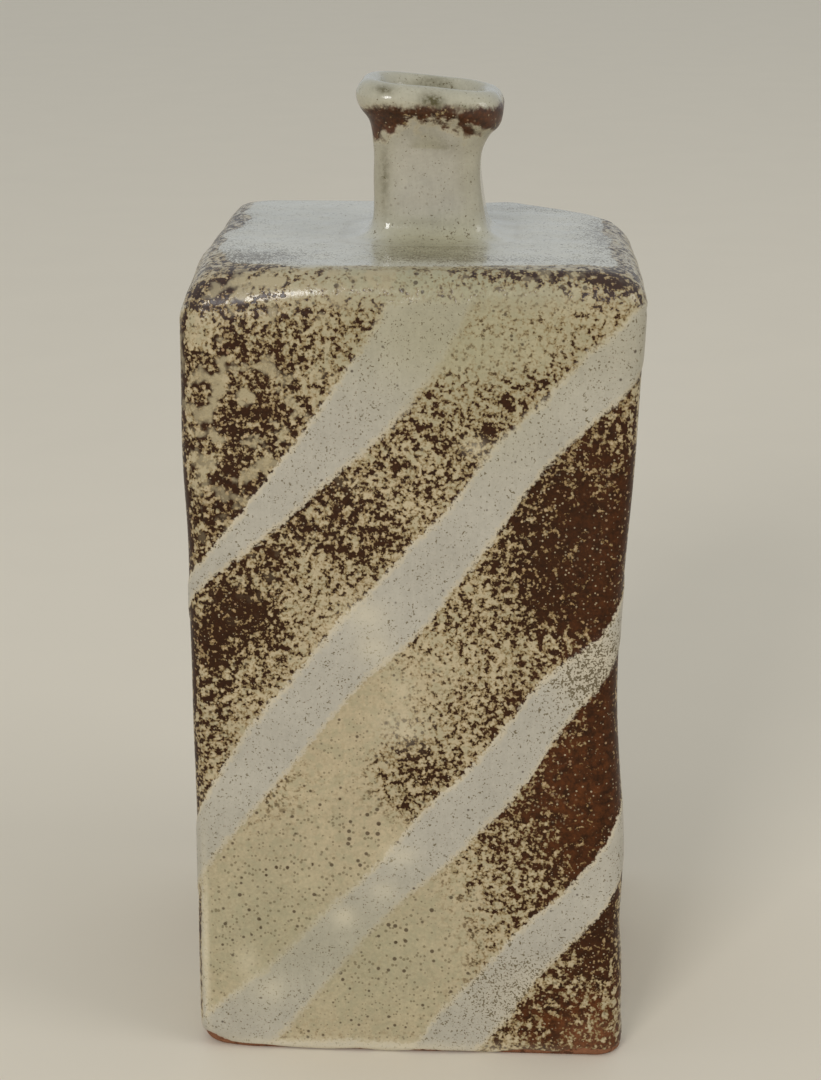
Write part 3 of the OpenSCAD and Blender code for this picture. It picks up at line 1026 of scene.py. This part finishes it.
def milk_cover(g):
    """Where milky blobs float on the brown."""
    blobs = g.total(g.float_on, g.spread(g.ragged, 0.12), g.spread(g.milk, 0.06, 1.0))
    return g.times(g.step(blobs, 0.50, 0.63), g.times(g.milk, 0.95, clamp=True))


def slip_coat(g, look, pepper):
    """The pale slip: its colour, with specks that rise through it, and where it covers.

    The brush left its edge ragged, and it is softer where the olive glaze runs over it.
    """
    edge = g.total(g.slip_depth, g.spread(g.brush, 1.8), g.spread(g.ragged, 2.2),
                   g.spread(g.grain, 0.8))
    soft = g.math("ADD", 0.25, g.times(g.olive, 1.1))
    cover = g.step(edge, g.times(soft, -1.0), g.math("ADD", soft, 0.1))

    pale = g.mix(look.slip, look.cream, g.step(edge, 1.5, 0.2))
    pale = g.mix(pale, look.cream, g.step(g.thin, 0.1, 0.5, 0.0, 0.7))
    pale = g.mix(pale, look.grey, g.grey)
    pale = g.mix(pale, look.olive, g.times(g.olive, 0.85, clamp=True))
    pale = g.tone(pale, g.total(g.spread(g.streaks, 0.16), g.spread(g.cloud, 0.24),
                                g.spread(g.mottle, 0.22), g.spread(g.grain, 0.16), 1.0))

    worn = g.total(g.thin, g.spread(g.powder, -2.6), g.spread(g.clump, -1.3))
    below = g.mix(look.speck, look.iron, g.step(g.thin, 0.2, 0.7, 0.0, 0.55))
    pale = g.mix(pale, below, g.times(g.step(worn, 0.36, 0.62), 0.88))
    specks = [
        (look.speck, 0.60, g.dots(0.75, 0.26, 0.55)),
        (look.rust, 0.55, g.dots(1.5, 0.12, 0.5, shift=17)),
        (look.iron, 0.80, g.dots(0.33, 0.38, 0.36, shift=40)),
    ]
    for colour, strength, dots in specks:
        pale = g.mix(pale, colour, g.times(dots, strength * pepper))
    # Stains, and painted shade along the neck's sides and inside the mouth, in the stain colour.
    stain_and_shade = g.times(g.stain_and_shade, g.step(g.ragged, 0.3, 0.6, 0.45, 1.0), clamp=True)
    return g.mix(pale, look.stain_and_shade, stain_and_shade), cover


def glaze_material(name, streak, ior, slip_roughness, pepper):
    """Ash glaze broken by iron flecks, with pale slip over it and bare clay at the foot.

    streak stretches the brush marks, and pepper says how strongly specks show in the slip.
    """
    look = bpy.context.scene.bottle_glaze
    g = GlazeGraph(name, streak)
    amount, over, fleck = iron_flecks(g)
    colour = g.mix(ash_coat(g, look, amount, over), iron_coat(g, look), fleck)
    colour = g.mix(colour, look.milk, milk_cover(g))
    pale, slip = slip_coat(g, look, pepper)
    colour = g.mix(colour, pale, slip)
    # Painted highlight: the pale butter colour stands for the glaze lying in the dimples and also for
    # its sheen there.
    colour = g.mix(colour, look.butter_and_sheen, g.times(g.glow, 0.75, clamp=True))

    clay = g.tone(look.clay, g.math("ADD", g.spread(g.noise(0.9, 4, 0.7, shift=3), 0.9), 1.0))
    clay = g.mix(clay, look.iron, g.step(g.mottle, 0.50, 0.66, 0.0, 0.7))
    bare = g.step(g.total(g.bare, g.spread(g.ragged, 1.2)), 0.4, 0.6)
    colour = g.mix(colour, clay, bare)

    rough = g.blend(look.gloss_roughness, look.fleck_roughness, fleck)
    rough = g.blend(rough, slip_roughness, slip)
    rough = g.math("ADD", rough, g.spread(g.blotch, 0.12))
    rough = g.blend(rough, look.clay_roughness, bare)

    sunk = g.times(fleck, g.math("SUBTRACT", 1.0, slip))
    height = g.total(g.times(sunk, -0.25), g.spread(g.blotch, 0.5), g.spread(g.grain, 0.25),
                     g.times(g.streaks, 0.15), g.times(bare, -0.2))
    g.relief(height, 0.5, 0.25)
    g.feed(g.shader.inputs["Base Color"], colour)
    g.feed(g.shader.inputs["Roughness"], rough)
    g.shader.inputs["IOR"].default_value = ior
    return g.material


def clay_material(name):
    """Bare fired stoneware, coarse and dry, for what lies inside."""
    look = bpy.context.scene.bottle_glaze
    g = Graph(name)
    body = g.noise(0.3, 4.0, 0.6)
    grit = g.dots(1.1, 0.3, 0.3)
    colour = g.tone(look.clay, g.math("ADD", g.spread(body, 0.8), 0.85))
    colour = g.mix(colour, look.iron, g.times(grit, 0.7))
    g.feed(g.shader.inputs["Base Color"], colour)
    g.feed(g.shader.inputs["Roughness"], g.step(body, 0.2, 0.8, 0.7, 0.9))
    g.relief(g.total(body, g.times(grit, 0.5)), 1.0, 0.3)
    return g.material


# How the brush marks are stretched, along x, y and z.
UPRIGHT_STREAKS = (1.6, 1.6, 0.12)
LEVEL_STREAKS = (0.14, 1.6, 1.6)
WALL_IOR = 1.25
POUR_IOR = 1.50
NECK_PEPPER = 0.45


def shared_material(name, make, *settings):
    """The material of that name, made the first time it is asked for."""
    return bpy.data.materials.get(name) or make(name, *settings)


def wall_glaze():
    rough = bpy.context.scene.bottle_glaze.slip_roughness
    return shared_material("poured_glaze_upright", glaze_material,
                           UPRIGHT_STREAKS, WALL_IOR, rough, 1.0)


def level_glaze():
    rough = bpy.context.scene.bottle_glaze.roof_roughness
    return shared_material("poured_glaze_level", glaze_material,
                           LEVEL_STREAKS, POUR_IOR, rough, 1.0)


def neck_glaze():
    rough = bpy.context.scene.bottle_glaze.neck_roughness
    return shared_material("neck_pour", glaze_material,
                           UPRIGHT_STREAKS, POUR_IOR, rough, NECK_PEPPER)


# ---- studio ----

FLOOR_HALF = 12.0
SKY_STRENGTH = 0.75
SENSOR_WIDTH = 36
LIGHTS_AIM_AT = (0, 0, 0.12)

# Soft lights: name, place, (width, height) and power.
LIGHTS = [
    ("window", (-0.85, -2.20, 1.15), (0.75, 0.80), 26.0),
    ("right_fill", (2.2, -0.8, 1.4), (1.2, 1.2), 12.0),
]


def make_floor(studio):
    """A wide, pale floor with a faint mottle."""
    half = FLOOR_HALF
    data = bpy.data.meshes.new("floor")
    data.from_pydata([(-half, -half, 0), (half, -half, 0), (half, half, 0), (-half, half, 0)],
                     [], [(0, 1, 2, 3)])
    floor = add_object("floor", data)
    g = Graph("floor_paint")
    paint = g.tone(studio.floor, g.math("ADD", g.spread(g.noise(0.02, 3), 0.04), 1.0))
    g.feed(g.shader.inputs["Base Color"], paint)
    g.shader.inputs["Roughness"].default_value = 0.7
    data.materials.append(g.material)


def make_surround(studio):
    """An even, pale surround that lights from every side."""
    world = bpy.data.worlds.new("studio")
    world.use_nodes = True
    background = world.node_tree.nodes["Background"]
    background.inputs["Color"].default_value = (*studio.sky, 1)
    background.inputs["Strength"].default_value = SKY_STRENGTH
    bpy.context.scene.world = world


def make_light(name, place, size, power):
    """A soft lamp turned towards the bottle."""
    data = bpy.data.lights.new(name, "AREA")
    data.shape = "RECTANGLE"
    data.size, data.size_y = size
    data.energy = power
    light = add_object(name, data)
    way = np.array(LIGHTS_AIM_AT) - np.array(place)
    light.location = place
    level = math.hypot(way[0], way[1])
    light.rotation_euler = (math.pi / 2 - math.atan2(-way[2], level), 0,
                            math.atan2(-way[0], way[1]))


def make_camera(studio):
    """The camera, in front of the bottle and above it."""
    data = bpy.data.cameras.new("camera")
    data.lens = studio.lens
    data.sensor_width = SENSOR_WIDTH
    camera = add_object("camera", data)
    s, c = math.sin(studio.turn), math.cos(studio.turn)
    camera.location = (s * studio.distance - c * studio.aside,
                       -c * studio.distance - s * studio.aside, studio.height)
    camera.rotation_euler = (math.pi / 2 - studio.pitch, 0, studio.turn)
    bpy.context.scene.camera = camera


# ---- operators ----

class BOTTLE_OT_base(Operator):
    """Build the base slab with its bare foot"""

    bl_idname = "bottle.base"
    bl_label = "Base slab"

    def execute(self, context):
        place_piece("glazed_base", base_mesh(), wall_glaze(), ["base_slab"])
        return {"FINISHED"}


class BOTTLE_OT_walls(Operator):
    """Build the four glazed walls"""

    bl_idname = "bottle.walls"
    bl_label = "Walls"

    def execute(self, context):
        material = wall_glaze()
        for side, name in enumerate(("front", "right", "back", "left")):
            place_piece(f"glazed_{name}_wall", wall_mesh(side), material,
                        [f"{name}_wall"])
        return {"FINISHED"}


class BOTTLE_OT_shoulder(Operator):
    """Build the shoulder slab"""

    bl_idname = "bottle.shoulder"
    bl_label = "Shoulder"

    def execute(self, context):
        place_piece("glazed_shoulder", shoulder_mesh(), level_glaze(), ["shoulder_slab"])
        return {"FINISHED"}


class BOTTLE_OT_neck(Operator):
    """Build the root coil, the neck and the lip"""

    bl_idname = "bottle.neck"
    bl_label = "Neck and lip"

    def execute(self, context):
        pour = neck_glaze()
        place_piece("glazed_root_coil", coil_mesh(), pour, ["neck_root_coil"])
        place_piece("glazed_neck", neck_mesh(), pour, ["neck"])
        place_piece("glazed_lip", lip_mesh(), pour, ["lip"])
        return {"FINISHED"}


class BOTTLE_OT_inner_coils(Operator):
    """Give the clay coils inside their bare clay"""

    bl_idname = "bottle.inner_coils"
    bl_label = "Inner coils"

    def execute(self, context):
        clay = shared_material("bare_clay", clay_material)
        for name, node in frame["nodes"].items():
            if "_coil_" in name:
                node.data.materials.clear()
                node.data.materials.append(clay)
        return {"FINISHED"}


class BOTTLE_OT_studio(Operator):
    """Set up the floor, the soft lights and the camera"""

    bl_idname = "bottle.studio"
    bl_label = "Studio"

    def execute(self, context):
        studio = context.scene.bottle_studio
        make_floor(studio)
        make_surround(studio)
        for name, place, size, power in LIGHTS:
            make_light(name, place, size, power)
        make_camera(studio)
        context.scene.view_settings.view_transform = "Standard"
        return {"FINISHED"}


class BOTTLE_PT_panel(Panel):
    """The bottle's pieces and settings"""

    bl_label = "Sake Bottle"
    bl_idname = "BOTTLE_PT_panel"
    bl_space_type = "VIEW_3D"
    bl_region_type = "UI"
    bl_category = "Bottle"

    def draw(self, context):
        for operator in OPERATORS:
            self.layout.operator(operator.bl_idname)
        for name in SETTINGS:
            group = getattr(context.scene, name)
            box = self.layout.box()
            for key in group.__annotations__:
                box.prop(group, key)


SETTINGS = {"bottle_shape": BottleShape, "bottle_glaze": BottleGlaze, "bottle_studio": BottleStudio}
OPERATORS = (BOTTLE_OT_studio, BOTTLE_OT_base, BOTTLE_OT_walls, BOTTLE_OT_shoulder,
             BOTTLE_OT_neck, BOTTLE_OT_inner_coils)


def register():
    for group in SETTINGS.values():
        bpy.utils.register_class(group)
    for cls in (*OPERATORS, BOTTLE_PT_panel):
        bpy.utils.register_class(cls)
    for name, group in SETTINGS.items():
        setattr(bpy.types.Scene, name, PointerProperty(type=group))


def unregister():
    for name in SETTINGS:
        delattr(bpy.types.Scene, name)
    for cls in (BOTTLE_PT_panel, *OPERATORS, *SETTINGS.values()):
        bpy.utils.unregister_class(cls)


def main():
    register()
    for operator in OPERATORS:
        group, name = operator.bl_idname.split(".")
        getattr(getattr(bpy.ops, group), name)()


if __name__ == "__main__":
    main()
